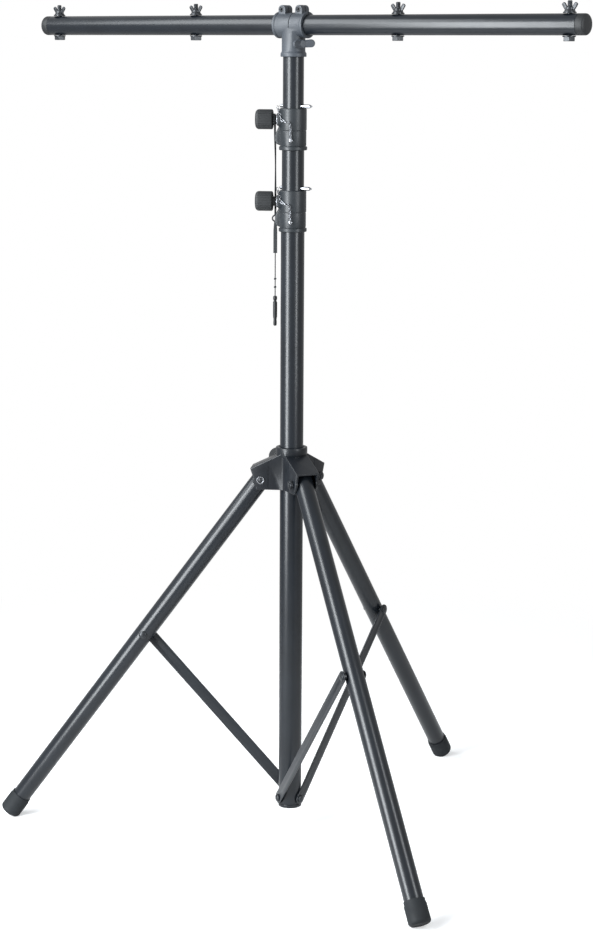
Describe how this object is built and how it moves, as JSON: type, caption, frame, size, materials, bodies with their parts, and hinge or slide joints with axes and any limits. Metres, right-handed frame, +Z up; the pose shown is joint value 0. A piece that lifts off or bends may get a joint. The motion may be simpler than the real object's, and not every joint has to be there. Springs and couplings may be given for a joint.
{
  "type": "lighting stand",
  "caption": "Telescopic tripod stand with a horizontal crossbar on top and bolts with wing nuts for hanging lights.",
  "frame": {"origin": "on the floor, under the middle of the stand's bounding box", "axes": "+X along the crossbar, +Y towards the back leg, +Z up along the mast"},
  "size_m": [1.099, 0.7866, 1.4258],
  "materials": {
    "black_steel": "satin",
    "grey_casting": "matte",
    "black_casting": "satin",
    "black_plastic": "matte",
    "black_rubber": "matte",
    "chromed_steel": "polished",
    "black_zinc": "satin",
    "nylon": "matte",
    "webbing": "matte"
  },
  "bodies": {
    "mast_lower": {"mast_lower_tube": "black_steel", "base_plug": "black_casting", "strut_back_base_bolt": "black_zinc", "strut_left_base_bolt": "black_zinc", "strut_front_base_bolt": "black_zinc", "lower_collar": "black_casting", "lower_collar_bush": "nylon", "lower_knob_washer": "chromed_steel", "lower_safety_chain": "chromed_steel"},
    "lower_knob": {"lower_knob": "black_plastic"},
    "hub": {"leg_hub": "black_casting", "hub_bush": "nylon", "hub_back_bolt": "black_zinc", "hub_left_bolt": "black_zinc", "hub_front_bolt": "black_zinc"},
    "hub_knob": {"hub_knob": "black_plastic"},
    "leg_back": {"leg_back_tube": "black_steel", "leg_back_plug": "black_plastic", "leg_back_foot": "black_rubber", "leg_back_bolt": "black_zinc"},
    "leg_left": {"leg_left_tube": "black_steel", "leg_left_plug": "black_plastic", "leg_left_foot": "black_rubber", "leg_left_bolt": "black_zinc"},
    "leg_front": {"leg_front_tube": "black_steel", "leg_front_plug": "black_plastic", "leg_front_foot": "black_rubber", "leg_front_bolt": "black_zinc"},
    "strut_back": {"strut_back": "black_steel"},
    "strut_left": {"strut_left": "black_steel"},
    "strut_front": {"strut_front": "black_steel"},
    "mast_mid": {"mast_mid_tube": "black_steel", "mast_mid_foot_bush": "nylon", "upper_collar": "black_casting", "upper_collar_bush": "nylon", "upper_knob_washer": "chromed_steel", "upper_safety_chain": "chromed_steel", "strap": "webbing", "strap_cord": "webbing", "strap_toggle": "black_plastic"},
    "upper_knob": {"upper_knob": "black_plastic"},
    "lower_pin": {"lower_safety_pin": "chromed_steel"},
    "mast_top": {"mast_top_tube": "black_steel", "mast_top_foot_bush": "nylon"},
    "upper_pin": {"upper_safety_pin": "chromed_steel"},
    "t_bar": {"t_coupler": "grey_casting", "clamp_screw_left": "black_zinc", "clamp_screw_right": "black_zinc", "crossbar_tube": "black_steel", "crossbar_cap_left": "black_plastic", "crossbar_cap_right": "black_plastic", "fixture_bolt_1": "black_zinc", "fixture_bolt_2": "black_zinc", "fixture_bolt_3": "black_zinc", "fixture_bolt_4": "black_zinc"},
    "wing_nut_1": {"wing_nut_1": "black_zinc"},
    "wing_nut_2": {"wing_nut_2": "black_zinc"},
    "wing_nut_3": {"wing_nut_3": "black_zinc"},
    "wing_nut_4": {"wing_nut_4": "black_zinc"},
    "wing_screw": {"coupler_wing_screw": "grey_casting"}
  },
  "joints": [
    {"name": "lower_knob_turn", "type": "hinge", "parent": "mast_lower", "child": "lower_knob", "pos_m": [-0.02944, -0.14152, 1.1005], "axis": [-0.866, -0.5, 0], "continuous": true},
    {"name": "hub_slide", "type": "slide", "parent": "mast_lower", "child": "hub", "axis": [0, 0, 1], "range_m": [0, 0.1624]},
    {"name": "hub_knob_turn", "type": "hinge", "parent": "hub", "child": "hub_knob", "pos_m": [-0.03681, -0.10327, 0.656], "axis": [-0.866, 0.5, 0], "continuous": true},
    {"name": "leg_back_fold", "type": "hinge", "parent": "hub", "child": "leg_back", "pos_m": [0, -0.07352, 0.627], "axis": [-1, 0, 0], "range_deg": [0, 36.26]},
    {"name": "leg_left_fold", "type": "hinge", "parent": "hub", "child": "leg_left", "pos_m": [-0.04417, -0.15002, 0.627], "axis": [0.5, -0.866, 0], "range_deg": [0, 36.26]},
    {"name": "leg_front_fold", "type": "hinge", "parent": "hub", "child": "leg_front", "pos_m": [0.04417, -0.15002, 0.627], "axis": [0.5, 0.866, 0], "range_deg": [0, 36.26]},
    {"name": "strut_back_fold", "type": "hinge", "parent": "mast_lower", "child": "strut_back", "pos_m": [0, -0.12452, 0.056], "axis": [1, 0, 0], "range_deg": [0, 34.15]},
    {"name": "strut_left_fold", "type": "hinge", "parent": "mast_lower", "child": "strut_left", "pos_m": [0, -0.12452, 0.056], "axis": [-0.5, 0.866, 0], "range_deg": [0, 34.15]},
    {"name": "strut_front_fold", "type": "hinge", "parent": "mast_lower", "child": "strut_front", "pos_m": [0, -0.12452, 0.056], "axis": [-0.5, -0.866, 0], "range_deg": [0, 34.15]},
    {"name": "mid_slide", "type": "slide", "parent": "mast_lower", "child": "mast_mid", "axis": [0, 0, 1], "range_m": [0, 0.84]},
    {"name": "upper_knob_turn", "type": "hinge", "parent": "mast_mid", "child": "upper_knob", "pos_m": [-0.02944, -0.14152, 1.236], "axis": [-0.866, -0.5, 0], "continuous": true},
    {"name": "lower_pin_slide", "type": "slide", "parent": "mast_mid", "child": "lower_pin", "axis": [-1, 0, 0], "range_m": [0, 0.08]},
    {"name": "top_slide", "type": "slide", "parent": "mast_mid", "child": "mast_top", "axis": [0, 0, 1], "range_m": [0, 0.84]},
    {"name": "upper_pin_slide", "type": "slide", "parent": "mast_top", "child": "upper_pin", "axis": [-1, 0, 0], "range_m": [0, 0.08]},
    {"name": "t_bar_turn", "type": "hinge", "parent": "mast_top", "child": "t_bar", "pos_m": [0, -0.12452, 1.39], "axis": [0, 0, 1], "continuous": true},
    {"name": "wing_nut_1_turn", "type": "hinge", "parent": "t_bar", "child": "wing_nut_1", "pos_m": [-0.517, -0.12452, 1.4068], "axis": [0, 0, 1], "continuous": true},
    {"name": "wing_nut_2_turn", "type": "hinge", "parent": "t_bar", "child": "wing_nut_2", "pos_m": [-0.206, -0.12452, 1.4068], "axis": [0, 0, 1], "continuous": true},
    {"name": "wing_nut_3_turn", "type": "hinge", "parent": "t_bar", "child": "wing_nut_3", "pos_m": [0.206, -0.12452, 1.4068], "axis": [0, 0, 1], "continuous": true},
    {"name": "wing_nut_4_turn", "type": "hinge", "parent": "t_bar", "child": "wing_nut_4", "pos_m": [0.517, -0.12452, 1.4068], "axis": [0, 0, 1], "continuous": true},
    {"name": "wing_screw_turn", "type": "hinge", "parent": "t_bar", "child": "wing_screw", "pos_m": [0.01949, -0.13577, 1.3595], "axis": [0.866, -0.5, 0], "continuous": true}
  ],
  "couplings": [
    {"joint": "leg_back_fold", "follows": "hub_slide", "rad_per_m": 3.8953},
    {"joint": "strut_back_fold", "follows": "hub_slide", "rad_per_m": 3.6683},
    {"joint": "leg_left_fold", "follows": "hub_slide", "rad_per_m": 3.8953},
    {"joint": "strut_left_fold", "follows": "hub_slide", "rad_per_m": 3.6683},
    {"joint": "leg_front_fold", "follows": "hub_slide", "rad_per_m": 3.8953},
    {"joint": "strut_front_fold", "follows": "hub_slide", "rad_per_m": 3.6683}
  ]
}
